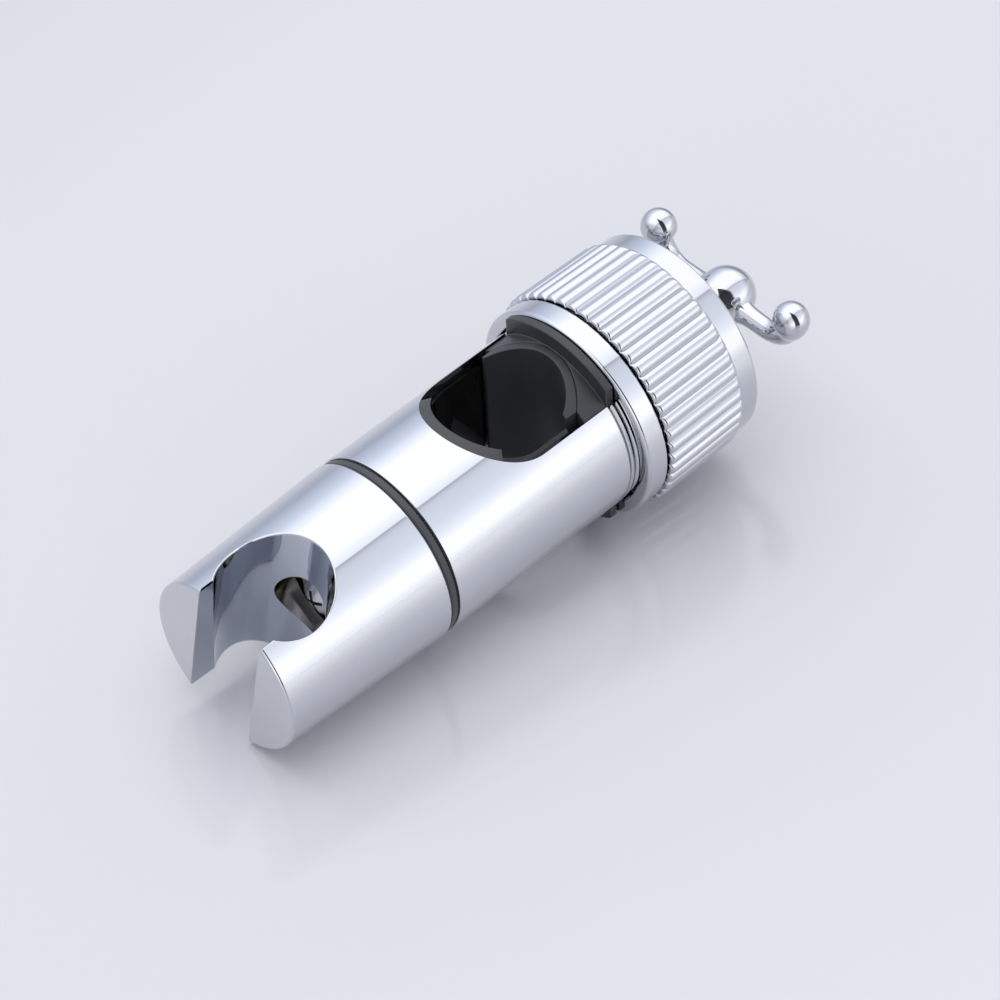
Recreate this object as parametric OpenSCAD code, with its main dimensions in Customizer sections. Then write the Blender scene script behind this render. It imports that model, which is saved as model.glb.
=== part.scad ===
// Shower rail slider: clamps on a round rail and holds a handset at any height and angle.
// Millimetres. The rail runs along Z through the origin. +Y is the long axis, towards the knob.

/* [Rail and tube] */
// Diameter of the rail that the slot takes
rail_d = 25; // [20:0.5:28]
// Outside diameter of the tube
tube_d = 42; // [38:0.5:48]
// Wall thickness of the tube
tube_wall = 2; // [1.5:0.1:3]
// Thickness of the plastic liner beside the rail
liner_t = 2.3; // [1.5:0.1:3]
// Rail axis to the tube's end on the holder side
tube_front = 30.2; // [26:0.1:36]
// Length of the threaded neck beyond the shoulder
neck_len = 13.1; // [10:0.1:18]
// Pitch of the neck's thread
pitch = 1.5; // [1:0.05:2]

/* [Handset holder] */
// Length of the holder along the long axis
holder_len = 41.9; // [36:0.1:50]
// Diameter of the holder at its open end
holder_front_d = 39.4; // [36:0.1:44]
// Angle the holder stands turned from the rail
holder_roll = 11.9; // [-180:0.1:180]
// Socket diameter at the top
socket_top_d = 23.8; // [22:0.1:26]
// Socket diameter at the bottom
socket_bottom_d = 20; // [18:0.1:22]
// Holder's open end to the socket's axis
socket_inset = 11.7; // [10:0.1:14]
// Width of the slot the hose passes through
hose_slot = 17.3; // [14:0.1:19]
// Diameter of the screw recess in the back of the socket
recess_d = 14.5; // [12:0.1:17]

/* [Clamp] */
// Distance the pad stands off the rail as drawn
jaw_open = 3; // [0:0.1:4]
// Thickness of the pad at its middle
pad_t = 1.9; // [1:0.1:3]
// Half angle of the liner's lips round the slot's end
lip_angle = 54; // [40:1:80]

/* [Knob] */
// Number of ribs round the grip
ribs = 48; // [36:1:72]
// How far the ribs stand out beyond the tube at the front of the grip
grip_over = 4.4; // [4:0.1:7]
// How much smaller the grip's radius is at its back
grip_taper = 0.4; // [0:0.1:2]
// Height of a rib above the valley beside it
rib_h = 0.9; // [0.4:0.1:1.4]
// How far the smooth collar stands out beyond the tube
collar_over = 3.3; // [3:0.1:4]
// Width of the smooth collar
collar_w = 5.3; // [3:0.1:8]
// Length of the ribs
rib_len = 21.2; // [16:0.1:28]
// Width of the smooth band behind the ribs
band_w = 5.1; // [3:0.1:8]

/* [Hook] */
// Diameter of the domed hub
hub_d = 12.6; // [10:0.1:16]
// Diameter of the ball tips
tip_d = 7.8; // [6:0.1:10]
// Thickness of the arms
arm_d = 4.4; // [3:0.1:6]
// Axis to the centre of each ball tip
hook_reach = 19.2; // [15:0.1:25]
// Height the tips rise above the arms
hook_rise = 8.5; // [5:0.1:12]
// Rail axis to the centre of the hub's dome
hub_pos = 66.9; // [62:0.1:75]

/* [Hidden] */
$fn = 96;

// Clearances: slide between parts that move, seat between parts that don't
slide = 0.3;
seat = 0.05;
face_gap = 0.2;
edge = 0.4;
groove = 0.25;
squeeze = 0.12;

// Radii
tube_r = tube_d / 2;
bore_r = tube_r - tube_wall;
rail_r = rail_d / 2;
slot_r = rail_r + liner_t;
carrier_r = bore_r - slide;
fill_r = tube_r - 2 * groove;
collar_r = tube_r + collar_over;
flange_r = collar_r - groove;
thread_h = 0.6;
crest_r = tube_r - groove;
root_r = crest_r - thread_h;
nut_minor_r = crest_r + slide;
nut_major_r = nut_minor_r + thread_h;
mouth_r = tube_r + edge;
sleeve_t = 0.9;
sleeve_r = nut_major_r + sleeve_t;
holder_front_r = holder_front_d / 2;
holder_back_r = tube_r + 2 * seat;

// Stations along the long axis, from the holder's open end to the knob
ring_t = 2;
y_tube = -tube_front;
y_ring = y_tube - seat - ring_t;
y_holder_back = y_ring - face_gap;
y_holder_front = y_holder_back - holder_len;
y_socket = y_holder_front + socket_inset;
shoulder = rail_r + jaw_open + pad_t + slide;
y_neck_end = shoulder + neck_len;
flange_t = 1.95;
y_flange = shoulder - face_gap;
y_flange_end = y_flange + flange_t;
y_collar = y_flange_end + slide;
y_collar_end = y_collar + collar_w;
y_grip = y_collar_end + slide + seat;
y_band = y_grip + rib_len;
y_grip_end = y_band + band_w;
web_t = 2.2;
closing = jaw_open;
run_out = 0.7;
y_web = y_neck_end + closing + run_out;
y_web_end = y_web + web_t;
slack = 60;

// Swivel between tube and holder
boss_r = 12;
plug_len = 6.5;
plug_inset = 0.5;
y_plug = y_tube + plug_inset;
y_plug_end = y_plug + plug_len;
bush_t = 0.8;
bush_r = boss_r + slide;
pocket_r = bush_r + bush_t + seat;
holder_web = 4.5;
pocket_len = 9;
y_pocket = y_holder_back - pocket_len;
y_recess = y_pocket - holder_web;
spigot_r = 5;
washer_t = 1;
spigot_out = 0.9;
spring_t = 0.65;
y_spigot = y_recess - spigot_out;
y_washer = y_spigot - seat - washer_t;
recess_r = recess_d / 2;
screw_washer_r = 6.2;
pin_r = 1.5;
pin_inset = 4;
y_pin = y_tube + pin_inset;
pin_hole_r = boss_r + 2;
ring_sec = 0.85;
seal_w = 1;
seal_d = 1.6;
ring_inset = 4;
y_o_ring = y_pocket + ring_inset;

// Screws: shank radius, head radius, head height
m5 = [2.5, 4.3, 3];
m4 = [2, 3.9, 2.6];
head_rim = 0.45;
dome_round = 1.525;
dome_drop = 1.15;
recess_turn = 20;
swivel_screw_len = 14;
tie_screw_len = 11;
hook_screw_len = 12.5;

// Clamp
pad_wrap = 2.9;
pad_r = rail_r + pad_wrap;
pad_back = rail_r + jaw_open + pad_t;
pad_half = rail_r - slide;
pad_tip = rail_r * 0.68;
carrier_front = rail_r * 0.912;
liner_back = carrier_front - closing - slide;
liner_front = -18.5;
liner_r = bore_r - seat;
tie_r = 5.9;
tie_washer_r = 9;
tie_bore = tie_screw_len + washer_t;
thrust_t = 1;
thrust_inset = 5;
thrust_r = bore_r - thrust_inset;
y_thrust = y_web - slide - thrust_t;
y_carrier_end = y_thrust - seat;
y_tie = y_web_end + slide;

// Knob shell and hook
valley_front_r = tube_r + grip_over - rib_h;
valley_back_r = valley_front_r - grip_taper;
cavity_r = sleeve_r + seat;
end_wall = 3.6;
dome_h = 1;
seat_r = 8;
mouth_depth = 1.6;
y_cavity = y_grip_end - end_wall;
hook_base_r = 7.2;
hook_bore = 9;
foot_t = 1.2;
waist = 3.4;
neck_r = 5.7;
bend_r = 7.3;
arm_z = -1.1;
arm_set = 0.7;
arm_y = hub_pos - arm_set;

// Turns a profile of [radius, station] points about the long axis
module turned(profile) {
  rotate([-90, 0, 0]) rotate_extrude() polygon(profile);
}

// Solid bar on the long axis from station a to station b
module bar(a, b, r) {
  translate([0, a, 0]) rotate([-90, 0, 0]) cylinder(h = b - a, r = r);
}

// Flat ring on the long axis
module ring(a, b, r_in, r_out) {
  turned([[r_in, a], [r_out, a], [r_out, b], [r_in, b]]);
}

// U-shaped cutter, open towards the knob
module u_cut(r, open_to) {
  cylinder(h = 2 * slack, r = r, center = true);
  translate([-r, 0, -slack]) cube([2 * r, open_to, 2 * slack]);
}

// Pan head screw with a cross recess; the head faces dir along the long axis
module pan_screw(size, y_head, len, dir) {
  shank = size[0];
  head = size[1];
  tall = size[2];
  translate([0, y_head, 0]) rotate([dir > 0 ? -90 : 90, 0, 0]) difference() {
    union() {
      translate([0, 0, -len]) cylinder(h = len, r = shank);
      cylinder(h = tall * head_rim, r = head);
      translate([0, 0, tall * head_rim]) intersection() {
        translate([0, 0, -dome_drop * head]) sphere(r = dome_round * head, $fn = 64);
        cylinder(h = tall * (1 - head_rim), r = head);
      }
    }
    for (turn = [0, 90])
      rotate([0, 0, turn + recess_turn]) translate([-head * 0.6, -head * 0.1, tall * 0.35])
        cube([head * 1.2, head * 0.2, tall]);
  }
}

// Tube with its thread: each crest is a ring of the profile
function crests(y0, n, low, high) = [
  for (i = [0 : n - 1])
    for (p = [[low, 0.16], [high, 0.36], [high, 0.76], [low, 0.96]])
      [p[0], y0 + (i + p[1]) * pitch]
];

module body_tube() {
  n = floor((neck_len - 1) / pitch);
  color([0.82, 0.84, 0.87]) difference() {
    turned(concat(
      [[bore_r, y_tube], [tube_r - edge, y_tube], [tube_r, y_tube + edge],
       [tube_r, shoulder - edge / 2], [tube_r - edge / 2, shoulder]],
      crests(shoulder, n, root_r, crest_r),
      [[root_r, y_neck_end - edge], [root_r - edge, y_neck_end], [bore_r, y_neck_end]]
    ));
    u_cut(slot_r, slack);
    translate([0, y_pin, -slack]) cylinder(h = slack, r = pin_r);
  }
}

module swivel_boss() {
  color([0.78, 0.66, 0.4]) difference() {
    turned([[0, y_spigot], [spigot_r - edge, y_spigot], [spigot_r, y_spigot + edge],
            [spigot_r, y_pocket + edge], [boss_r - edge, y_pocket + edge],
            [boss_r, y_pocket + 2 * edge], [boss_r, y_o_ring - seal_w],
            [boss_r - seal_d, y_o_ring - seal_w], [boss_r - seal_d, y_o_ring + seal_w],
            [boss_r, y_o_ring + seal_w], [boss_r, y_plug],
            [bore_r - seat, y_plug], [bore_r - seat, y_plug_end], [0, y_plug_end]]);
    bar(y_spigot - 1, y_spigot + swivel_screw_len + washer_t, m5[0]);
    translate([0, y_pin, -slack]) cylinder(h = slack - pin_hole_r, r = pin_r);
  }
}

module boss_pin() {
  color([0.7, 0.71, 0.73])
    translate([0, y_pin, slide - tube_r])
      cylinder(h = tube_r - slide - pin_hole_r - 2 * seat, r = pin_r - seat);
}

module o_ring() {
  color([0.08, 0.08, 0.09])
    translate([0, y_o_ring, 0]) rotate([90, 0, 0])
      rotate_extrude() translate([boss_r - ring_sec + squeeze, 0]) circle(r = ring_sec, $fn = 32);
}

module friction_ring() {
  color([0.2, 0.2, 0.22])
    turned([[boss_r + face_gap, y_ring], [tube_r - slide - edge, y_ring], [tube_r - slide, y_ring + edge],
            [tube_r - slide, y_tube - seat - edge], [tube_r - slide - edge, y_tube - seat],
            [boss_r + face_gap, y_tube - seat]]);
}

module rail_liner() {
  lip_r = tube_r - seat;
  color([0.1, 0.1, 0.11]) difference() {
    union() {
      bar(liner_front, liner_back, liner_r);
      intersection() {
        bar(-slot_r, 0, lip_r);
        cylinder(h = 2 * slack, r = slot_r - seat, center = true);
        for (side = [-1, 1])
          rotate([0, 0, side * lip_angle / 2]) linear_extrude(2 * slack, center = true)
            polygon([[0, 0], [-slack * sin(lip_angle / 2), -slack * cos(lip_angle / 2)],
                     [0, -slack], [slack * sin(lip_angle / 2), -slack * cos(lip_angle / 2)]]);
      }
    }
    u_cut(rail_r, slack);
  }
}

module swivel_screw() {
  color([0.86, 0.87, 0.89]) pan_screw([m5[0] - seat, m5[1], m5[2]], y_washer, swivel_screw_len, -1);
}

module screw_washer() {
  color([0.75, 0.76, 0.78]) ring(y_washer + seat / 2, y_spigot - seat / 2, m5[0], screw_washer_r);
}

module socket_cut() {
  top = tube_r + 1;
  slope = (socket_top_d - socket_bottom_d) / 4 / holder_front_r;
  mid = (socket_top_d + socket_bottom_d) / 4;
  translate([0, y_socket, -top])
    cylinder(h = 2 * top, r1 = mid - slope * top, r2 = mid + slope * top);
  translate([-hose_slot / 2, y_holder_front - 1, -slack])
    cube([hose_slot, socket_inset + 1, 2 * slack]);
}

module handset_holder() {
  color([0.82, 0.84, 0.87]) rotate([0, holder_roll, 0]) difference() {
    turned([[0, y_holder_front], [holder_front_r - edge, y_holder_front],
            [holder_front_r, y_holder_front + edge], [holder_back_r, y_holder_back - edge],
            [holder_back_r - edge, y_holder_back], [0, y_holder_back]]);
    socket_cut();
    bar(y_socket, y_recess, recess_r);
    bar(y_recess - 1, y_pocket + 1, spigot_r + slide);
    bar(y_pocket, y_holder_back + 1, pocket_r);
  }
}

module holder_bush() {
  color([0.9, 0.9, 0.88]) ring(y_pocket + seat, y_holder_back, bush_r, bush_r + bush_t);
}

module wave_washer() {
  color([0.6, 0.61, 0.63])
    ring(y_recess - seat - spring_t, y_recess - seat, spigot_r + slide, screw_washer_r);
}

module clamp_carrier() {
  half = slot_r - slide;
  color([0.22, 0.22, 0.24]) difference() {
    union() {
      bar(carrier_front, y_carrier_end, carrier_r);
      bar(y_carrier_end - 1, y_tie, tie_r);
      intersection() {
        translate([-half, carrier_front, -slack]) cube([2 * half, slack, 2 * slack]);
        union() {
          bar(carrier_front, y_flange_end, fill_r);
          bar(y_flange, y_flange_end, flange_r);
        }
      }
    }
    translate([0, pad_back - pad_r, 0]) cylinder(h = 2 * slack, r = pad_r + seat, center = true);
    bar(y_tie - tie_bore, y_tie + 1, m4[0]);
  }
}

module clamp_pad() {
  color([0.13, 0.13, 0.14]) intersection() {
    bar(pad_tip, y_flange - seat, fill_r);
    translate([-pad_half, pad_tip, -slack]) cube([2 * pad_half, slack, 2 * slack]);
    difference() {
      translate([0, pad_back - pad_r, 0]) cylinder(h = 2 * slack, r = pad_r, center = true);
      translate([0, jaw_open, 0]) cylinder(h = 3 * slack, r = rail_r, center = true);
    }
  }
}

module thrust_washer() {
  color([0.9, 0.9, 0.86]) ring(y_thrust, y_thrust + thrust_t, tie_r + seat, thrust_r);
}

module retaining_screw() {
  color([0.75, 0.76, 0.78])
    pan_screw([m4[0] - seat, m4[1], m4[2]], y_tie + washer_t + seat, tie_screw_len, 1);
}

module retaining_washer() {
  color([0.7, 0.71, 0.73]) ring(y_tie + seat / 2, y_tie + washer_t, m4[0], tie_washer_r);
}

module knob_collar() {
  round_r = 1;
  n = floor((y_web - 1 - y_collar - mouth_depth - 2 * seat) / pitch);
  steps = 6;
  color([0.85, 0.87, 0.9]) turned(concat(
    [[tie_r + slide, y_web], [mouth_r, y_web]],
    [for (p = crests(-(y_web - 1), n, nut_major_r, nut_minor_r)) [p[0], -p[1]]],
    [[nut_major_r, y_collar + mouth_depth + 2 * seat], [mouth_r, y_collar + mouth_depth],
     [mouth_r, y_collar]],
    [for (i = [0 : steps]) [collar_r - round_r + round_r * sin(i * 90 / steps),
                            y_collar + round_r - round_r * cos(i * 90 / steps)]],
    [[collar_r, y_collar_end], [sleeve_r, y_collar_end], [sleeve_r, y_web_end],
     [tie_r + slide, y_web_end]]
  ));
}

// One ring of the ribbed surface: radius of the valleys and height of the ribs at a station
rib_shape = [[-0.5, 0], [-0.4, 0.36], [-0.22, 0.86], [0, 1], [0.22, 0.86], [0.4, 0.36]];
function rib_ring(y, valley, high) = [
  for (i = [0 : ribs - 1])
    for (p = rib_shape)
      let (a = (i + p[0]) * 360 / ribs, r = valley + high * p[1]) [r * sin(a), y, r * cos(a)]
];

// Closed ring-shaped solid: the stations outside, a plain wall inside
module ribbed(stations, inner) {
  n = ribs * len(rib_shape);
  m = len(stations);
  rings = concat([for (s = stations) rib_ring(s[0], s[1], s[2])],
                 [rib_ring(stations[m - 1][0], inner, 0), rib_ring(stations[0][0], inner, 0)]);
  faces = [
    for (k = [0 : m + 1])
      for (i = [0 : n - 1])
        let (next = (k + 1) % (m + 2), j = (i + 1) % n)
          each [[k * n + i, next * n + j, k * n + j], [k * n + i, next * n + i, next * n + j]]
  ];
  polyhedron([for (r = rings) each r], faces);
}

// The ribs stand on a turned sleeve and fade out just in front of the band, where they are let in
module knob_grip() {
  round_r = 0.8;
  steps = 5;
  end_run = 1.1;
  core_drop = 0.1;
  let_in = 0.5;
  ribs_inner = cavity_r + slide;
  sleeve_out = ribs_inner + slide;
  mid_front = valley_front_r - grip_taper * end_run / rib_len;
  mid_back = valley_back_r + grip_taper * end_run / rib_len;
  color([0.82, 0.84, 0.87]) {
    ribbed([[y_grip, collar_r - seat, rib_h * 0.5],
            [y_grip + end_run * 0.2, collar_r + (valley_front_r - collar_r) * 0.6, rib_h * 0.75],
            [y_grip + end_run * 0.5, valley_front_r - core_drop, rib_h * 0.95],
            [y_grip + end_run, mid_front, rib_h], [y_band - end_run, mid_back, rib_h],
            [y_band - end_run * 0.3, valley_back_r, rib_h * 0.7],
            [y_band - seat, valley_back_r - core_drop, 0],
            [y_band + let_in, valley_back_r - 2 * core_drop, 0]], ribs_inner);
    difference() {
      union() {
        bar(y_grip + face_gap, y_band + 1, sleeve_out);
        turned(concat(
          [[0, y_band], [valley_back_r, y_band]],
          [for (i = [0 : steps]) [valley_back_r - round_r + round_r * cos(i * 90 / steps),
                                  y_grip_end - round_r + round_r * sin(i * 90 / steps)]],
          [[seat_r, y_grip_end + dome_h], [0, y_grip_end + dome_h]]
        ));
      }
      bar(y_grip - 1, y_cavity, cavity_r);
      bar(y_cavity - 1, y_grip_end + dome_h + 1, m5[0] + seat);
    }
  }
}

module hook_arm() {
  bend_x = hook_reach - bend_r - slide;
  translate([0, arm_y, arm_z]) rotate([0, 90, 0]) cylinder(h = bend_x, r = arm_d / 2, $fn = 48);
  translate([bend_x, arm_y, arm_z + bend_r]) rotate([90, 0, 0]) rotate([0, 0, -90])
    rotate_extrude(angle = 90) translate([bend_r, 0]) circle(r = arm_d / 2, $fn = 48);
  translate([hook_reach, arm_y, arm_z + hook_rise]) sphere(d = tip_d, $fn = 64);
}

module hook() {
  y_base = y_grip_end + dome_h;
  color([0.84, 0.86, 0.89]) difference() {
    union() {
      turned([[0, y_base], [hook_base_r - edge, y_base], [hook_base_r, y_base + edge],
              [hook_base_r, y_base + foot_t], [neck_r, y_base + waist], [neck_r, hub_pos], [0, hub_pos]]);
      translate([0, hub_pos, 0]) rotate([0, 0, 90]) sphere(d = hub_d);
      hook_arm();
      mirror([1, 0, 0]) hook_arm();
    }
    bar(y_base - 1, y_base + hook_bore, m5[0]);
  }
}

module hook_screw() {
  color([0.75, 0.76, 0.78])
    pan_screw([m5[0] - seat, m5[1], m5[2]], y_cavity - washer_t - seat, hook_screw_len, -1);
}

module hook_washer() {
  color([0.7, 0.71, 0.73]) ring(y_cavity - washer_t, y_cavity - seat / 2, m5[0], hook_base_r);
}

body_tube();
swivel_boss();
boss_pin();
o_ring();
friction_ring();
rail_liner();
swivel_screw();
screw_washer();
handset_holder();
holder_bush();
wave_washer();
clamp_carrier();
clamp_pad();
thrust_washer();
retaining_screw();
retaining_washer();
knob_collar();
knob_grip();
hook();
hook_screw();
hook_washer();
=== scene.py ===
"""Shower rail slider, dressed and lit as in the photograph."""
import math

import bmesh
import bpy
from mathutils import Matrix, Vector


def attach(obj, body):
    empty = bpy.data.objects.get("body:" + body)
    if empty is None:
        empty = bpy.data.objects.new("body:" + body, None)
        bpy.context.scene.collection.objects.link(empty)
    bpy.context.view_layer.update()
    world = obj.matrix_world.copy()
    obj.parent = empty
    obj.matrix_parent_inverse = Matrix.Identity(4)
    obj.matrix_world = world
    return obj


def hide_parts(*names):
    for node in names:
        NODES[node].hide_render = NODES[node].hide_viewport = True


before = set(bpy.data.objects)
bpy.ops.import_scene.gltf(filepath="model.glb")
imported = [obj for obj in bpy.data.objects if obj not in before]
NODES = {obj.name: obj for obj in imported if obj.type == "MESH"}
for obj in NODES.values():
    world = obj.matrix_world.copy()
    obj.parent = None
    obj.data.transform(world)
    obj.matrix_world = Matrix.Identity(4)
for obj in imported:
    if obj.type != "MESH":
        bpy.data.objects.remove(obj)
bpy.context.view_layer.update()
MM = 0.001
QUARTER = math.pi / 2

# Camera, fitted to the photograph's outlines
CAM_POS = (0.4859, -0.4266, 0.7128)
CAM_RIGHT = (0.6937, 0.7191, -0.0416)
CAM_UP = (-0.5178, 0.538, 0.6651)
CAM_BACK = (0.5006, -0.4399, 0.7456)
CAM_LENS = 170.5

# Sizes in millimetres, as in part.scad: _R is a radius, Y_ a station on the long axis
PITCH = 1.5
RIBS = 48
RIB_H = 0.9
TUBE_R = 21.0
BORE_R = 19.0
SLOT_R = 14.8
Y_TUBE = -30.2
SHOULDER = 17.7
NECK_END = 30.8
CREST_R = 20.75
ROOT_R = 20.15
COLLAR_R = 24.3
Y_COLLAR = 19.75
Y_COLLAR_END = 25.05
Y_WEB = 34.5
Y_WEB_END = 36.7
Y_GRIP = 25.4
Y_BAND = 46.6
Y_GRIP_END = 51.7
Y_CAVITY = 48.1
VALLEY_FRONT = 24.5
VALLEY_BACK = 24.1
CAVITY_R = 22.6
HOLDER_FRONT, HOLDER_BACK = -74.35, -32.45
HOLDER_R_FRONT, HOLDER_R_BACK = 19.7, 21.1
HOLDER_TAPER = 1.4
HOLDER_ROLL = 11.9
Y_SOCKET = -62.65
SOCKET_MID = 10.95
SOCKET_SLOPE = 3.8 / 4 / 19.7
HOSE_HALF = 8.65
RECESS_R = 7.25
Y_RECESS_END = -45.95
POCKET_R = 13.15
Y_POCKET = -41.45
SPIGOT_HOLE_R = 5.3
PIN_R = 1.5
Y_PIN = -26.2
SCREW_HOLE_R = 2.55
WEB_HOLE_R = 6.2
NUT_R = 21.65
MOUTH_R = 21.4
HUB_Y = 66.9
HUB_R = 6.3
BALL_R = 3.9
BALL_Z = 7.4
HOOK_FOOT_R = 7.2
REACH = 19.2

# Only here, not in part.scad: the hook's turn in degrees, and rounded edges in millimetres
HOOK_ROLL = 1.1
RIM_ROUND = 0.4
CAST_ROUND = 0.14
MOULDED_ROUND = 0.28


# ---------------------------------------------------------------- node helpers

class Tree:
    """Adds nodes to a material or world and links them."""

    def __init__(self, owner):
        owner.use_nodes = True
        self.tree = owner.node_tree
        self.tree.nodes.clear()

    def add(self, kind, inputs=None, **props):
        node = self.tree.nodes.new(kind)
        for key, value in props.items():
            setattr(node, key, value)
        for key, value in (inputs or {}).items():
            socket = node.inputs[key]
            if isinstance(value, bpy.types.NodeSocket):
                self.tree.links.new(value, socket)
            else:
                socket.default_value = value
        return node

    def place(self):
        return self.add("ShaderNodeTexCoord").outputs["Object"]

    def axes(self, vector):
        return self.add("ShaderNodeSeparateXYZ", {"Vector": vector}).outputs

    def math(self, op, a, b=0.0):
        return self.add("ShaderNodeMath", {0: a, 1: b}, operation=op).outputs[0]

    def off_axis(self, axes):
        """Distance from the long axis."""
        return self.math("SQRT", self.math("ADD", self.math("MULTIPLY", axes["X"], axes["X"]),
                                           self.math("MULTIPLY", axes["Z"], axes["Z"])))

    def span(self, value, low, high, start, end, kind="LINEAR"):
        """Maps low to high of a value on to start to end."""
        return self.add("ShaderNodeMapRange", {
            "Value": value, "From Min": low, "From Max": high, "To Min": start, "To Max": end},
            interpolation_type=kind).outputs["Result"]

    def ramp(self, fac, stops):
        node = self.add("ShaderNodeValToRGB", {"Fac": fac})
        ramp = node.color_ramp
        while len(ramp.elements) < len(stops):
            ramp.elements.new(0.5)
        for element, (place, colour) in zip(ramp.elements, stops):
            element.position = place
            element.color = (*colour, 1.0)
        return node.outputs["Color"]

    def two_tone(self, patch, colour, colour2):
        return self.ramp(patch, [(0.3, colour), (0.7, colour2)])

    def mix(self, fac, a, b):
        return self.add("ShaderNodeMix", {"Factor": fac, "A": a, "B": b},
                        data_type="RGBA").outputs["Result"]

    def noise(self, scale, detail, roughness, vector):
        return self.add("ShaderNodeTexNoise", {
            "Scale": scale, "Detail": detail, "Roughness": roughness,
            "Vector": vector}).outputs["Fac"]

    def relief(self, height, strength, distance):
        return self.add("ShaderNodeBump", {
            "Height": height, "Strength": strength, "Distance": distance}).outputs["Normal"]

    def shade(self, inputs):
        bsdf = self.add("ShaderNodeBsdfPrincipled", inputs)
        self.add("ShaderNodeOutputMaterial", {"Surface": bsdf.outputs["BSDF"]})


def grey(level, blue=0.0):
    """A linear grey from an 8-bit display level, a little bluer if asked."""
    s = level / 255
    v = s / 12.92 if s <= 0.04045 else ((s + 0.055) / 1.055) ** 2.4
    return (v * (1 - blue), v, v * (1 + blue * 2.2))


# ---------------------------------------------------------------- materials

def material(name):
    mat = bpy.data.materials.new(name)
    return mat, Tree(mat)


def surface(name, colour, colour2, metallic, rough, rough2, bump=0.0, patch_scale=60.0):
    """A surface whose colour and gloss drift a little from place to place, with a fine relief."""
    mat, t = material(name)
    place = t.place()
    patch = t.noise(patch_scale, 3.0, 0.55, place)
    look = {"Base Color": t.two_tone(patch, colour, colour2), "Metallic": metallic,
            "Roughness": t.span(patch, 0.3, 0.7, rough, rough2)}
    if bump:
        look["Normal"] = t.relief(t.noise(4000.0, 2.0, 0.6, place), 1.0, bump)
    t.shade(look)
    return mat


def chrome(name, level=0.62, rough=0.035):
    return surface(name, (level, level * 1.015, level * 1.06),
                   (level * 0.98, level * 1.0, level * 1.05), 1.0, rough, rough + 0.02)


def turned_metal(name, colour, rough):
    """Metal with fine lathe lines round the long axis."""
    mat, t = material(name)
    axes = t.axes(t.place())
    run = t.math("ADD", t.off_axis(axes), axes["Y"])
    spread = t.add("ShaderNodeCombineXYZ", {"X": run}).outputs["Vector"]
    lines = t.noise(2500.0, 1.0, 0.5, spread)
    tone = t.ramp(lines, [(0.35, tuple(c * 0.88 for c in colour)), (0.65, colour)])
    t.shade({"Base Color": tone, "Metallic": 1.0, "Roughness": rough,
             "Normal": t.relief(lines, 0.4, 0.00002)})
    return mat


def plastic(name, level, rough, bump=0.0, blue=0.05):
    base = grey(level, blue)
    return surface(name, base, tuple(c * 1.25 for c in base), 0.0, rough, rough * 1.2, bump, 90.0)


def liner_plastic():
    """Glossy black inside the slot, satin dark grey on the lips that lie flush with the tube."""
    mat, t = material("liner")
    place = t.place()
    lip = t.span(t.off_axis(t.axes(place)), 20.6 * MM, 20.85 * MM, 0.0, 1.0)
    patch = t.noise(120.0, 3.0, 0.5, place)
    tone = t.mix(lip, t.two_tone(patch, grey(14), grey(22)),
                 t.two_tone(patch, grey(62, 0.03), grey(70, 0.03)))
    t.shade({"Base Color": tone, "Roughness": t.span(lip, 0.0, 1.0, 0.1, 0.4),
             "Normal": t.relief(t.noise(5000.0, 2.0, 0.6, place), 0.5, 0.000002)})
    return mat


def plated_casting():
    """Bright chrome outside, painted shade (darker and bluer) on the faces inside, bare metal round
    the screw.
    """
    mat, t = material("chrome_holder")
    place = t.place()
    axes = t.axes(place)
    radius = t.off_axis(axes)
    skin_r = t.span(axes["Y"], HOLDER_FRONT * MM, HOLDER_BACK * MM,
                    HOLDER_R_FRONT * MM, HOLDER_R_BACK * MM)
    under_skin = t.span(t.math("SUBTRACT", skin_r, radius), 0.25 * MM, 0.4 * MM, 0.0, 1.0)
    behind_face = t.span(axes["Y"], (HOLDER_FRONT + 0.2) * MM, (HOLDER_FRONT + 0.4) * MM, 0.0, 1.0)
    inside = t.math("MULTIPLY", under_skin, behind_face)
    bare = t.span(radius, 7.2 * MM, 7.4 * MM, 1.0, 0.0)
    patch = t.noise(60.0, 3.0, 0.55, place)
    skin = t.two_tone(patch, (0.62, 0.63, 0.657), (0.608, 0.62, 0.651))
    # painted shade: the faces inside get a darker, bluer chrome colour standing in for the shaded
    # floor they mirror
    inside_shade_tone = t.two_tone(patch, (0.50, 0.535, 0.60), (0.52, 0.555, 0.62))
    raw = t.two_tone(patch, (0.40, 0.36, 0.32), (0.46, 0.42, 0.38))
    t.shade({"Base Color": t.mix(bare, t.mix(inside, skin, inside_shade_tone), raw), "Metallic": 1.0,
             "Roughness": t.span(bare, 0.0, 1.0, 0.04, 0.2)})
    return mat


MATS = {
    "chrome_tube": chrome("chrome_tube"),
    "chrome_holder": plated_casting(),
    "chrome_collar": chrome("chrome_collar", 0.61, 0.045),
    "chrome_grip": chrome("chrome_grip", 0.6, 0.06),
    "chrome_hook": chrome("chrome_hook", 0.6, 0.04),
    "steel": turned_metal("steel", (0.62, 0.62, 0.63), 0.28),
    "spring": turned_metal("spring", (0.45, 0.46, 0.48), 0.3),
    "brass": turned_metal("brass", (0.72, 0.55, 0.28), 0.3),
    "liner": liner_plastic(),
    "carrier": plastic("carrier", 54, 0.36, 0.000004),
    "ring": plastic("ring", 66, 0.38, 0.000004),
    "pad": plastic("pad", 54, 0.42, 0.000006),
    "seal": plastic("seal", 30, 0.45),
    "bearing": plastic("bearing", 215, 0.35, blue=-0.03),
}


# ---------------------------------------------------------------- mesh helpers

def linked(name, data):
    obj = bpy.data.objects.new(name, data)
    bpy.context.scene.collection.objects.link(obj)
    return obj


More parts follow.
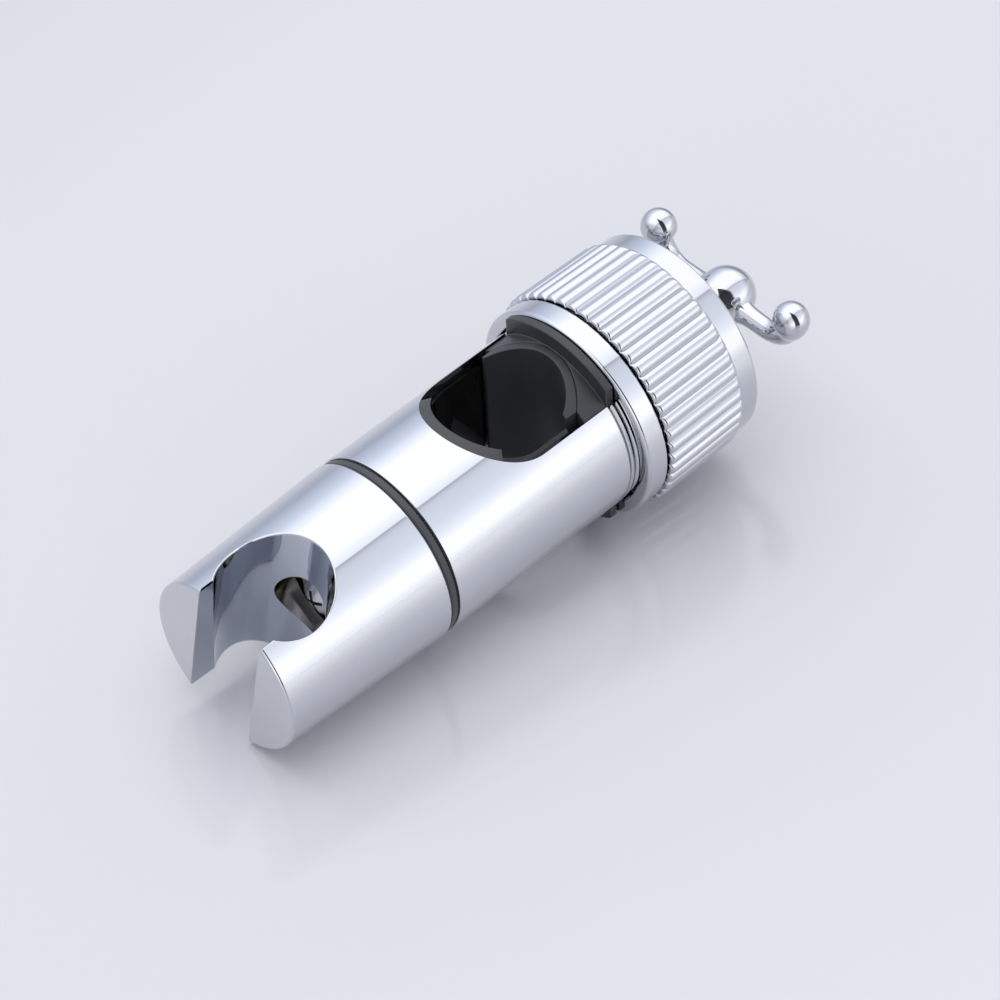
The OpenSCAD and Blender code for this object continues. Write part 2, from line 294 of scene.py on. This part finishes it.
def finish_mesh(name, mesh, mat, angle):
    """Links a mesh as a smooth piece whose edges stay crisp above the given angle."""
    mesh.materials.clear()
    mesh.materials.append(MATS[mat])
    for polygon in mesh.polygons:
        polygon.use_smooth = True
    mesh.set_sharp_from_angle(angle=math.radians(angle))
    obj = linked(name, mesh)
    even = obj.modifiers.new("even_shading", "WEIGHTED_NORMAL")
    even.mode = "FACE_AREA"
    even.weight = 100
    even.keep_sharp = True
    return obj


def mesh_from(name, verts, faces):
    """Mesh from millimetre points."""
    mesh = bpy.data.meshes.new(name)
    mesh.from_pydata([(x * MM, y * MM, z * MM) for x, y, z in verts], [], faces)
    mesh.validate()
    bm = bmesh.new()
    bm.from_mesh(mesh)
    bmesh.ops.remove_doubles(bm, verts=bm.verts, dist=1e-7)
    bmesh.ops.recalc_face_normals(bm, faces=bm.faces)
    bm.to_mesh(mesh)
    bm.free()
    return mesh


def rounded(profile, radii, steps):
    """Closed (radius, station) loop with its corners rounded; radii is one number per corner."""
    out = []
    count = len(profile)
    for i in range(count):
        p = Vector(profile[i])
        r = radii[i]
        if r <= 0:
            out.append(tuple(p))
            continue
        a = Vector(profile[i - 1]) - p
        b = Vector(profile[(i + 1) % count]) - p
        half = a.angle(b) / 2
        run = min(r / math.tan(half), a.length * 0.49, b.length * 0.49)
        r = run * math.tan(half)
        start, end = p + a.normalized() * run, p + b.normalized() * run
        centre = p + (a.normalized() + b.normalized()).normalized() * (r / math.sin(half))
        for k in range(steps + 1):
            v = start.lerp(end, k / steps) - centre
            out.append(tuple(centre + v.normalized() * r))
    return out


def lathe(name, profile, segs, lead=None):
    """Turns a closed (radius, station) loop round the long axis.

    lead is each point's share of the thread's pitch in a turn."""
    verts, faces = [], []
    count = len(profile)
    for k in range(segs):
        t = 2 * math.pi * k / segs
        for i, (r, y) in enumerate(profile):
            shift = lead[i] * PITCH * k / segs if lead else 0.0
            verts.append((r * math.sin(t), y + shift, r * math.cos(t)))
    for k in range(segs):
        n = (k + 1) % segs
        for i in range(count):
            j = (i + 1) % count
            faces.append((k * count + i, n * count + i, n * count + j, k * count + j))
    return mesh_from(name, verts, faces)


def skin_rings(name, verts, count):
    """Closed mesh over rings of count points each, with a cap at either end."""
    faces = [(k + i, k + (i + 1) % count, k + count + (i + 1) % count, k + count + i)
             for k in range(0, len(verts) - count, count) for i in range(count)]
    faces.append(tuple(range(count)))
    faces.append(tuple(range(len(verts) - 1, len(verts) - 1 - count, -1)))
    return mesh_from(name, verts, faces)


def prism(name, verts):
    """Closed mesh between two rings of points, the first half of verts and the second."""
    n = len(verts) // 2
    faces = [(k, (k + 1) % n, n + (k + 1) % n, n + k) for k in range(n)]
    faces += [tuple(range(n - 1, -1, -1)), tuple(range(n, 2 * n))]
    return mesh_from(name, verts, faces)


def tube_along(name, path, radii, segs):
    """Closed tube round a path in a plane of constant y, with one radius per point."""
    verts = []
    for i, p in enumerate(path):
        a = Vector(path[max(i - 1, 0)])
        b = Vector(path[min(i + 1, len(path) - 1)])
        along = (b - a).normalized()
        side = Vector((0, 1, 0))
        other = along.cross(side)
        for k in range(segs):
            t = 2 * math.pi * k / segs
            verts.append(tuple(Vector(p) + (side * math.cos(t) + other * math.sin(t)) * radii[i]))
    return skin_rings(name, verts, segs)


def cylinder(name, start, end, r1, r2, segs):
    """Closed cone or cylinder between two millimetre points."""
    start, end = Vector(start), Vector(end)
    axis = (end - start).normalized()
    side = axis.orthogonal().normalized()
    other = axis.cross(side)
    verts = []
    for centre, r in ((start, r1), (end, r2)):
        for k in range(segs):
            t = 2 * math.pi * k / segs
            verts.append(tuple(centre + (side * math.cos(t) + other * math.sin(t)) * r))
    return prism(name, verts)


def extruded(name, outline, z0, z1):
    """Closed prism on an (x, y) outline."""
    return prism(name, [(x, y, z) for z in (z0, z1) for x, y in outline])


def applied(obj, helpers=()):
    """The object's mesh with its modifiers applied; the object and its helpers are removed."""
    graph = bpy.context.evaluated_depsgraph_get()
    result = bpy.data.meshes.new_from_object(obj.evaluated_get(graph))
    for used in (obj, *helpers):
        bpy.data.objects.remove(used)
    return result


def combine(mesh, others, operation):
    """Exact boolean of a mesh with others, as a new mesh."""
    base = linked("work", mesh)
    tools = []
    for other in others:
        tool = linked("tool", other)
        mod = base.modifiers.new("cut", "BOOLEAN")
        mod.operation = operation
        mod.solver = "EXACT"
        mod.object = tool
        tools.append(tool)
    return applied(base, tools)


def weld_and_bevel(obj, width, steps, angle, clamp):
    """Small rounded edge along every edge sharper than the angle."""
    weld = obj.modifiers.new("joined", "WELD")
    weld.merge_threshold = 0.00001
    edge = obj.modifiers.new("rounded_edge", "BEVEL")
    edge.width = width * MM
    edge.segments = steps
    edge.limit_method = "ANGLE"
    edge.angle_limit = math.radians(angle)
    edge.use_clamp_overlap = clamp


def roll(mesh, degrees):
    mesh.transform(Matrix.Rotation(math.radians(degrees), 4, "Y"))
    return mesh


def stands_for(obj, node, body):
    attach(obj, body)
    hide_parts(node)


# ---------------------------------------------------------------- pieces that replace CAD nodes

def body_tube():
    """Tube with a helical thread on its split neck and a round-bottomed slot through both sides."""
    profile = [(BORE_R, Y_TUBE), (TUBE_R - 0.3, Y_TUBE), (TUBE_R - 0.09, Y_TUBE + 0.09),
               (TUBE_R, Y_TUBE + 0.3), (TUBE_R, SHOULDER - 0.3), (TUBE_R - 0.09, SHOULDER - 0.09),
               (TUBE_R - 0.3, SHOULDER), (ROOT_R, SHOULDER + 0.02)]
    lead = [0.0] * len(profile)
    crest = ((ROOT_R, 0.0), (ROOT_R + 0.22, 0.08), (CREST_R - 0.12, 0.24), (CREST_R, 0.32),
             (CREST_R, 0.52), (CREST_R - 0.12, 0.6), (ROOT_R + 0.22, 0.76), (ROOT_R, 0.84))
    turn = 0
    while SHOULDER + 0.15 + (turn + 2) * PITCH < NECK_END - 0.3:
        base = SHOULDER + 0.15 + turn * PITCH
        for r, y in crest:
            profile.append((r, base + y * PITCH))
            lead.append(1.0)
        turn += 1
    profile += [(ROOT_R, NECK_END - 0.4), (ROOT_R - 0.4, NECK_END), (BORE_R, NECK_END)]
    lead += [0.0, 0.0, 0.0]
    mesh = lathe("body_tube_shell", profile, 384, lead)
    outline = [(SLOT_R, 60.0), (-SLOT_R, 60.0)]
    for k in range(97):
        t = math.pi * k / 96
        outline.append((-SLOT_R * math.cos(t), -SLOT_R * math.sin(t)))
    slot_tool = extruded("slot_tool", outline, -40, 40)
    pin_tool = cylinder("pin_tool", (0, Y_PIN, -40), (0, Y_PIN, -10), PIN_R, PIN_R, 48)
    mesh = combine(mesh, [slot_tool, pin_tool], "DIFFERENCE")
    obj = finish_mesh("body_tube_shell", mesh, "chrome_tube", 25)
    stands_for(obj, "body_tube", "body")


def holder_top(x, y):
    """Height of the holder's outside over a point, before its roll."""
    r = HOLDER_R_FRONT + HOLDER_TAPER * (y - HOLDER_FRONT) / (HOLDER_BACK - HOLDER_FRONT)
    return math.sqrt(max(0.01, r * r - x * x))


def rim_cutters():
    """Closed strips that round the socket's upper rim and the slot's upper edges."""
    wide = SOCKET_MID + SOCKET_SLOPE * 18
    open_a = math.asin(HOSE_HALF / wide)
    rim = []
    for k in range(201):
        a = open_a + 2 * (math.pi - open_a) * k / 200
        x, y = -math.sin(a), -math.cos(a)
        r = wide
        for _ in range(3):
            r = SOCKET_MID + SOCKET_SLOPE * holder_top(x * r, Y_SOCKET + y * r)
        rim.append((x * r, Y_SOCKET + y * r, x, y))
    before = 2
    run = before + rim[0][1] - HOLDER_FRONT
    edge = [(HOSE_HALF, HOLDER_FRONT - before + run * k / 12, 1, 0) for k in range(13)]
    wall = Vector((0, 0, -1))
    steps = 6
    strips = []
    for line in (rim, edge, [(-x, y, -nx, ny) for x, y, nx, ny in edge]):
        verts = []
        for x, y, nx, ny in line:
            point = Vector((x, y, holder_top(x, y)))
            flat = Vector((nx, ny, 0))
            on_x, on_y = x + 0.05 * nx, y + 0.05 * ny
            skin = (Vector((on_x, on_y, holder_top(on_x, on_y))) - point).normalized()
            half = skin.angle(wall) / 2
            inward = (skin + wall).normalized()
            centre = point + inward * (RIM_ROUND / math.cos(half))
            start, end = point + wall * RIM_ROUND, point + skin * RIM_ROUND
            radius = (start - centre).length
            ring = [start - flat * 0.05]
            for k in range(steps + 1):
                ring.append(centre + (start.lerp(end, k / steps) - centre).normalized() * radius)
            ring += [end - inward * 0.3, point - inward * 0.9, start - flat * 0.5]
            verts += [tuple(v) for v in ring]
        strips.append(skin_rings("rim_cutter", verts, len(ring)))
    return strips


def handset_holder():
    """Tapered body with its conical socket, hose slot and screw recess, all edges just broken."""
    profile = rounded([(0.4, HOLDER_FRONT), (HOLDER_R_FRONT, HOLDER_FRONT),
                       (HOLDER_R_BACK, HOLDER_BACK), (0.4, HOLDER_BACK)], [0, 0.9, 0.5, 0], 8)
    core = lathe("holder_body", profile, 512)
    plug = cylinder("holder_core", (0, HOLDER_FRONT, 0), (0, HOLDER_BACK, 0), 1.0, 1.0, 48)
    core = combine(core, [plug], "UNION")
    inside_shade_tone = 23
    socket_tool = cylinder("socket_tool", (0, Y_SOCKET, -inside_shade_tone), (0, Y_SOCKET, inside_shade_tone),
                           SOCKET_MID - SOCKET_SLOPE * inside_shade_tone, SOCKET_MID + SOCKET_SLOPE * inside_shade_tone, 256)
    before = HOLDER_FRONT - 5
    slot_tool = extruded("hose_tool", [(-HOSE_HALF, before), (HOSE_HALF, before),
                                       (HOSE_HALF, Y_SOCKET), (-HOSE_HALF, Y_SOCKET)], -40, 40)
    recess = cylinder("recess_tool", (0, Y_SOCKET, 0), (0, Y_RECESS_END, 0), RECESS_R, RECESS_R, 96)
    hole = cylinder("hole_tool", (0, -47, 0), (0, -40, 0), SPIGOT_HOLE_R, SPIGOT_HOLE_R, 64)
    pocket = cylinder("pocket_tool", (0, Y_POCKET, 0), (0, -30, 0), POCKET_R, POCKET_R, 96)
    mesh = combine(core, [socket_tool, slot_tool, recess, hole, pocket], "DIFFERENCE")
    for strip in rim_cutters():
        mesh = combine(mesh, [strip], "DIFFERENCE")
    work = linked("work", mesh)
    weld_and_bevel(work, CAST_ROUND, 2, 40, True)
    mesh = roll(applied(work), HOLDER_ROLL)
    obj = finish_mesh("holder_shell", mesh, "chrome_holder", 30)
    stands_for(obj, "handset_holder", "holder")


def knob_grip():
    """Ribbed shell: round-topped ribs between a chamfered front and the smooth band."""
    per_rib = (-0.5, -0.46, -0.41, -0.34, -0.25, -0.13, 0.0, 0.13, 0.25, 0.34, 0.41, 0.46)
    high = [1 - abs(2 * p) ** 2.4 for p in per_rib]
    stations = []
    front, back, round_r = 1.1, 1.2, 0.8
    slope = (VALLEY_FRONT - VALLEY_BACK) / (Y_BAND - Y_GRIP)
    for k in range(9):
        u = k / 8
        y = Y_GRIP + front * (1 - math.cos(u * QUARTER))
        lift = math.sin(u * QUARTER)
        chamfer = (VALLEY_FRONT - COLLAR_R - 0.05) * (1 - min(1.0, (y - Y_GRIP) / 0.5)) ** 2
        valley = VALLEY_FRONT - chamfer - slope * (y - Y_GRIP)
        stations.append((y, valley, RIB_H * (0.35 + 0.65 * lift)))
    for k in range(1, 12):
        y = Y_GRIP + front + (Y_BAND - back - Y_GRIP - front) * k / 12
        stations.append((y, VALLEY_FRONT - slope * (y - Y_GRIP), RIB_H))
    for k in range(9):
        u = k / 8
        y = Y_BAND - back + back * math.sin(u * QUARTER)
        stations.append((y, VALLEY_FRONT - slope * (y - Y_GRIP), RIB_H * math.cos(u * QUARTER)))
    plain = [(Y_BAND + 0.15, VALLEY_BACK)]
    for k in range(8):
        t = QUARTER * k / 7
        plain.append((Y_GRIP_END - round_r + round_r * math.sin(t),
                      VALLEY_BACK - round_r + round_r * math.cos(t)))
    plain += [(Y_GRIP_END + 0.75, 10.5), (Y_GRIP_END + 1.0, 8.0), (Y_GRIP_END + 1.0, SCREW_HOLE_R),
              (Y_CAVITY, SCREW_HOLE_R), (Y_CAVITY, CAVITY_R - 0.3), (Y_CAVITY - 0.3, CAVITY_R),
              (Y_GRIP, CAVITY_R)]
    stations += [(y, r, 0.0) for y, r in plain]
    n = RIBS * len(per_rib)
    verts, faces = [], []
    for y, valley, tall in stations:
        for i in range(RIBS):
            for p, h in zip(per_rib, high):
                t = 2 * math.pi * (i + p) / RIBS
                r = valley + tall * h
                verts.append((r * math.sin(t), y, r * math.cos(t)))
    m = len(stations)
    for k in range(m):
        for i in range(n):
            a, b = k * n + i, k * n + (i + 1) % n
            c, d = ((k + 1) % m) * n + (i + 1) % n, ((k + 1) % m) * n + i
            faces.append((a, b, c, d))
    mesh = mesh_from("knob_grip_shell", verts, faces)
    obj = finish_mesh("knob_grip_shell", mesh, "chrome_grip", 50)
    stands_for(obj, "knob_grip", "knob")


def smooth_max(a, b, k):
    """Larger of two radii, blended where they are within k of each other."""
    h = max(k - abs(a - b), 0.0) / k
    return max(a, b) + h * h * k / 4


def hook_post():
    """Foot, slim neck and the hub that it flares into."""
    base = Y_GRIP_END + 1.05
    foot_t, thin, flare, flare_len = 0.8, 0.3, 0.0545, 7.5
    post = [(thin, base), (HOOK_FOOT_R - 0.2, base), (HOOK_FOOT_R, base + 0.2),
            (HOOK_FOOT_R, base + foot_t)]
    for k in range(1, 9):
        t = QUARTER * k / 8
        post.append((HOOK_FOOT_R - 3.5 * math.sin(t), base + foot_t + 4.8 * (1 - math.cos(t))))
    for k in range(20):
        below = flare_len * (1 - k / 20)
        post.append((HUB_R - flare * below ** 1.93, HUB_Y - below))
    for k in range(24):
        t = QUARTER * (1 + k / 24)
        post.append((max(thin, HUB_R * math.sin(t)), HUB_Y - HUB_R * math.cos(t)))
    post.append((thin, HUB_Y + HUB_R))
    core = cylinder("hook_core", (0, base, 0), (0, HUB_Y + HUB_R - 0.01, 0), 0.5, 0.5, 32)
    return lathe("hook_post", post, 160), core


def hook_arm():
    """Path and radii of the right arm, from inside the hub to the tip of its ball."""
    arm_y, arm_z, arm_r, bend_r, inside = HUB_Y - 0.7, -0.6, 2.2, 7.3, 2.0
    bend_x = REACH - bend_r
    path = [(inside + (bend_x - inside) * k / 14, arm_y, arm_z) for k in range(14)]
    for k in range(25):
        t = QUARTER * k / 24
        path.append((bend_x + bend_r * math.sin(t), arm_y, arm_z + bend_r * (1 - math.cos(t))))
    bend_top = path[-1][2]
    rise = BALL_Z + BALL_R - bend_top
    for k in range(1, 25):
        path.append((REACH, arm_y, bend_top + rise * math.sin(QUARTER * k / 24)))
    length = [0.0]
    for p, q in zip(path, path[1:]):
        length.append(length[-1] + (Vector(q) - Vector(p)).length)
    radii = []
    for (x, _, _), run in zip(path, length):
        off = run - (length[-1] - BALL_R)
        ball = math.sqrt(max(0.0, BALL_R ** 2 - off ** 2))
        root = 1.3 * math.exp(-max(0.0, x - 4.6) / 1.3)
        swell = 0.5 * max(0.0, min(1.0, (x - bend_x) / bend_r)) ** 2
        radii.append(max(0.02, smooth_max(arm_r + root + swell, ball, 2.0) if off < 0 else ball))
    return path, radii


def hook():
    """Turned post and hub with two arms that flow into their ball tips."""
    post, core = hook_post()
    path, radii = hook_arm()
    arms = [tube_along("hook_arm", [(x * side, y, z) for x, y, z in path], radii, 72)
            for side in (1, -1)]
    mesh = roll(combine(post, [core] + arms, "UNION"), HOOK_ROLL)
    obj = finish_mesh("hook_body", mesh, "chrome_hook", 40)
    stands_for(obj, "hook", "knob")


def knob_collar():
    """Smooth band with a rounded front edge, a grooved bore and the web on the carrier."""
    profile = [(WEB_HOLE_R, Y_WEB), (MOUTH_R, Y_WEB)]
    y = Y_WEB - 1.2
    while y > Y_COLLAR + 2.9:
        profile += [(NUT_R, y), (21.15, y - 0.3), (21.05, y - 0.55), (21.15, y - 0.8)]
        y -= PITCH
    profile += [(NUT_R, Y_COLLAR + 1.7), (MOUTH_R, Y_COLLAR + 1.6), (MOUTH_R, Y_COLLAR + 0.2),
                (MOUTH_R + 0.2, Y_COLLAR)]
    for k in range(9):
        t = QUARTER * k / 8
        profile.append((COLLAR_R - 1.0 + math.sin(t), Y_COLLAR + 1.0 - math.cos(t)))
    rear = 0.45
    for k in range(6):
        t = QUARTER * k / 5
        profile.append((COLLAR_R - rear + rear * math.cos(t),
                        Y_COLLAR_END - rear + rear * math.sin(t)))
    profile += [(CAVITY_R, Y_COLLAR_END), (CAVITY_R - 0.05, Y_COLLAR_END + 0.1),
                (CAVITY_R - 0.05, Y_WEB_END), (WEB_HOLE_R, Y_WEB_END)]
    obj = finish_mesh("collar_band", lathe("collar_band", profile, 320), "chrome_collar", 30)
    stands_for(obj, "knob_collar", "knob")


DRESS = {
    "friction_ring": "ring", "rail_liner": "liner",
    "clamp_carrier": "carrier", "clamp_pad": "pad", "swivel_boss": "brass", "o_ring": "seal",
    "holder_bush": "bearing", "thrust_washer": "bearing", "wave_washer": "spring",
    "swivel_screw": "steel", "screw_washer": "steel", "boss_pin": "steel",
    "retaining_screw": "steel", "retaining_washer": "steel", "hook_screw": "steel",
    "hook_washer": "steel",
}

for node, mat in DRESS.items():
    for slot in NODES[node].material_slots:
        slot.material = MATS[mat]

for node in ("clamp_carrier", "clamp_pad"):
    weld_and_bevel(NODES[node], MOULDED_ROUND, 3, 40, False)
    NODES[node].modifiers.new("even_shading", "WEIGHTED_NORMAL").weight = 100

body_tube()
handset_holder()
knob_collar()
knob_grip()
hook()


# ---------------------------------------------------------------- studio

def floor_plane():
    """Pale table that touches the knob's ribs and the holder's open end."""
    high, low = Vector((0, -0.0735, -0.0197)), Vector((0, 0.027, -0.0254))
    along = (high - low).normalized()
    across = Vector((1, 0, 0))
    normal = along.cross(across).normalized()
    mesh = bpy.data.meshes.new("table_top")
    size, gap = 2.0, 0.0002
    corners = [low + along * a * size + across * b * size - normal * gap
               for a, b in ((-1, -1), (-1, 1), (1, 1), (1, -1))]
    mesh.from_pydata([tuple(c) for c in corners], [], [(0, 1, 2, 3)])
    mat, t = material("table_gloss")
    place = t.place()
    cloud = t.noise(3.0, 2.0, 0.5, place)
    tone = t.two_tone(cloud, (0.752, 0.752, 0.808), (0.768, 0.768, 0.822))
    x = t.axes(place)["X"]
    # painted light falloff: the table's colour is darkened towards -x and brightened towards +x
    painted_falloff = t.math("MULTIPLY", t.span(x, 0.06, 0.2, 1.0, 1.08), t.span(x, -0.3, -0.13, 0.86, 1.0))
    tone = t.add("ShaderNodeVectorMath", {0: tone, 3: painted_falloff}, operation="SCALE").outputs[0]
    t.shade({"Base Color": tone, "Roughness": 0.12, "IOR": 1.5})
    mesh.materials.append(mat)
    plane = linked("table_top", mesh)


def studio_world():
    """Pale room; polished surfaces see a white ceiling, a thin line, a dark gap, a side panel."""
    world = bpy.data.worlds.new("studio")
    bpy.context.scene.world = world
    t = Tree(world)
    axes = t.axes(t.add("ShaderNodeTexCoord").outputs["Generated"])
    phi = t.math("ARCTAN2", axes["X"], axes["Z"])
    far = t.math("SUBTRACT", axes["Y"], t.math("MULTIPLY", axes["Z"], 0.9))
    ends = t.span(far, 0.3, 0.95, 1.0, 0.55, "SMOOTHSTEP")
    near = t.span(axes["Y"], -0.95, -0.6, 0.5, 1.0, "SMOOTHSTEP")
    half = t.span(phi, -0.12, 0.6, 0.001, 0.24)
    off = t.math("DIVIDE", t.math("ABSOLUTE", t.math("ADD", axes["Y"], 0.15)), half)
    gap = t.span(off, 0.75, 1.25, 0.05, 1.0, "SMOOTHSTEP")
    reach = t.math("MULTIPLY", t.math("MULTIPLY", ends, near), 1.62)
    reach = t.math("MULTIPLY", reach, gap)
    fac = t.span(phi, -QUARTER, QUARTER, 0.0, 1.0)
    # Angle round the long axis in degrees, display level, share of blue
    stops = [(-88, 170, 0.09), (-75, 190, 0.09), (-63, 209, 0.08), (-51, 236, 0.05),
             (-40, 255, 0.0), (6, 255, 0.0), (14, 244, 0.03), (19.4, 236, 0.04),
             (20.2, 160, 0.04), (22, 190, 0.05), (25, 204, 0.05), (30, 210, 0.05),
             (46, 219, 0.05), (58, 236, 0.04), (68, 255, 0.0), (82, 255, 0.0), (89, 240, 0.02)]
    room = t.ramp(fac, [((a + 90) / 180, grey(level, blue)) for a, level, blue in stops])
    path = t.add("ShaderNodeLightPath").outputs
    fill = t.add("ShaderNodeBackground", {"Color": (0.93, 0.95, 1.0, 1.0), "Strength": 0.68})
    shine = t.add("ShaderNodeBackground", {"Color": room, "Strength": reach})
    seen = t.add("ShaderNodeBackground", {"Color": (0.753, 0.768, 0.847, 1.0), "Strength": 1.0})
    mixed = fill.outputs[0]
    for ray, shown in (("Is Glossy Ray", shine), ("Is Camera Ray", seen)):
        mixed = t.add("ShaderNodeMixShader", {
            0: path[ray], 1: mixed, 2: shown.outputs[0]}).outputs[0]
    t.add("ShaderNodeOutputWorld", {"Surface": mixed})


def key_light():
    """Soft overhead panel, not mirrored in the chrome."""
    lamp = bpy.data.lights.new("key_overhead", "AREA")
    lamp.shape = "RECTANGLE"
    lamp.size, lamp.size_y = 2.2, 2.8
    lamp.energy = 21.0
    obj = linked("key_overhead", lamp)
    obj.location = (-0.45, 0.1, 2.1)
    obj.rotation_euler = (-Vector(obj.location)).to_track_quat("-Z", "Y").to_euler()
    obj.visible_glossy = False


def camera():
    data = bpy.data.cameras.new("photo_camera")
    data.lens = CAM_LENS
    data.sensor_width = 36.0
    data.clip_start = 0.01
    obj = linked("photo_camera", data)
    right, up, back = (Vector(v).normalized() for v in (CAM_RIGHT, CAM_UP, CAM_BACK))
    matrix = Matrix((right, up, back)).transposed().to_4x4()
    matrix.translation = Vector(CAM_POS)
    obj.matrix_world = matrix
    bpy.context.scene.camera = obj


floor_plane()
studio_world()
key_light()
camera()
bpy.context.scene.view_settings.view_transform = "Standard"
